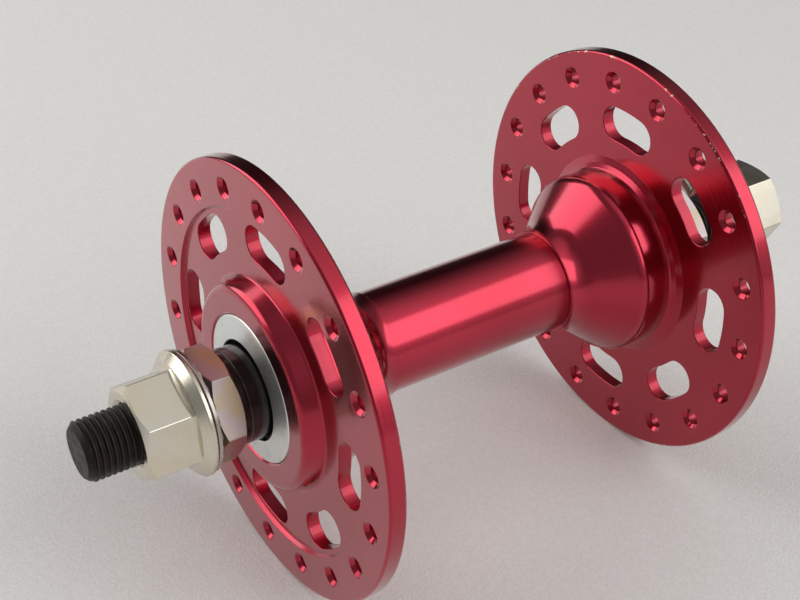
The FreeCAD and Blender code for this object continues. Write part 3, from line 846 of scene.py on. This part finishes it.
settle(axle(), OXIDE, "axle_set", "axle")
settle(centre_barrel(), RED, "hub_shell", "centre_barrel")
for end in ENDS:
    settle(flange_shell(end), RED, "hub_shell", f"{end}_flange_shell")
    settle(dust_cap(end), SILVER, "hub_shell", f"{end}_dust_cap")
    settle(bearing_cone(end), GLOSS_BLACK, "axle_set", f"{end}_bearing_cone")
    settle(lock_washer(end), GLOSS_BLACK, "axle_set", f"{end}_lock_washer")
    settle(locknut(end), LOCKNUT_ZINC, "axle_set", f"{end}_locknut")
    settle(grip_washer(end), WASHER_ZINC, f"{end}_grip_washer_body",
           f"{end}_grip_washer")
    settle(axle_nut(end), NUT_ZINC, f"{end}_nut_body", f"{end}_axle_nut")
    for node, material in (("bearing_cup", RACE), ("bearing_balls", BALL),
                           ("ball_retainer", RETAINER)):
        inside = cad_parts[f"{end}_{node}"]
        inside.data.materials.clear()
        inside.data.materials.append(material)


# ---------------------------------------------------------------- floor, light and camera

def floor():
    """Plain table under both rims."""
    mesh = bpy.data.meshes.new("table")
    half = 3.0
    mesh.from_pydata([(-half, -half, FLOOR), (half, -half, FLOOR),
                      (half, half, FLOOR), (-half, half, FLOOR)], [], [(0, 1, 2, 3)])
    table = bpy.data.objects.new("table", mesh)
    mesh.materials.append(table_top())
    bpy.context.scene.collection.objects.link(table)


def soft_light(name, direction, size, power):
    """Large lamp that faces the hub from a direction."""
    light = bpy.data.lights.new(name, "AREA")
    light.shape = "RECTANGLE"
    light.size, light.size_y = size
    light.energy = power
    lamp = bpy.data.objects.new(name, light)
    lamp.location = direction.normalized() * LAMP_DISTANCE
    lamp.rotation_mode = "QUATERNION"
    lamp.rotation_quaternion = (-direction).to_track_quat("-Z", "Y")
    bpy.context.scene.collection.objects.link(lamp)


def room():
    """Dim room, darker on one side, with a glow round the window and one overhead."""
    world = bpy.data.worlds.new("room")
    bpy.context.scene.world = world
    world.use_nodes = True
    nodes, links = world.node_tree.nodes, world.node_tree.links
    background = nodes["Background"]
    background.inputs["Color"].default_value = (1.0, 0.995, 0.98, 1)
    place = nodes.new("ShaderNodeTexCoord")

    def patch(direction, first, last, from_light, to_light):
        """Brightness that changes smoothly with the angle from a direction."""
        towards = nodes.new("ShaderNodeVectorMath")
        towards.operation = "DOT_PRODUCT"
        links.new(place.outputs["Generated"], towards.inputs[0])
        towards.inputs[1].default_value = direction.normalized()
        shade = nodes.new("ShaderNodeMapRange")
        shade.interpolation_type = "SMOOTHSTEP"
        links.new(towards.outputs["Value"], shade.inputs[0])
        for socket, value in ((1, first), (2, last), (3, from_light), (4, to_light)):
            shade.inputs[socket].default_value = value
        return shade.outputs[0]

    strength = patch(DARK_SIDE, 0.65, 0.95, ROOM_LIGHT, DARK_LIGHT)
    for glow in (patch(WINDOW, 0.6, 0.95, 0.0, WINDOW_GLOW),
                 patch(OVERHEAD, 0.86, 0.99, 0.0, OVERHEAD_GLOW)):
        total = nodes.new("ShaderNodeMath")
        links.new(strength, total.inputs[0])
        links.new(glow, total.inputs[1])
        strength = total.outputs[0]
    links.new(strength, background.inputs["Strength"])


def camera():
    """Camera where the hub is seen from above its left end, as a person standing over it."""
    azimuth, elevation = math.radians(56.93), math.radians(33.76)
    forward = Vector((-math.sin(azimuth) * math.cos(elevation),
                      math.cos(azimuth) * math.cos(elevation), -math.sin(elevation)))
    data = bpy.data.cameras.new("camera")
    data.sensor_width = 36.0
    data.lens = 66.16
    data.clip_start = 0.005
    eye = bpy.data.objects.new("camera", data)
    eye.location = (170.7 * MM, -122.9 * MM, 142.9 * MM)
    eye.rotation_mode = "QUATERNION"
    eye.rotation_quaternion = forward.to_track_quat("-Z", "Y")
    bpy.context.scene.collection.objects.link(eye)
    bpy.context.scene.camera = eye


floor()
camera()
room()
soft_light("window", WINDOW, WINDOW_SIZE, WINDOW_POWER)
soft_light("ceiling", CEILING, CEILING_SIZE, CEILING_POWER)
bpy.context.scene.view_settings.view_transform = "Standard"
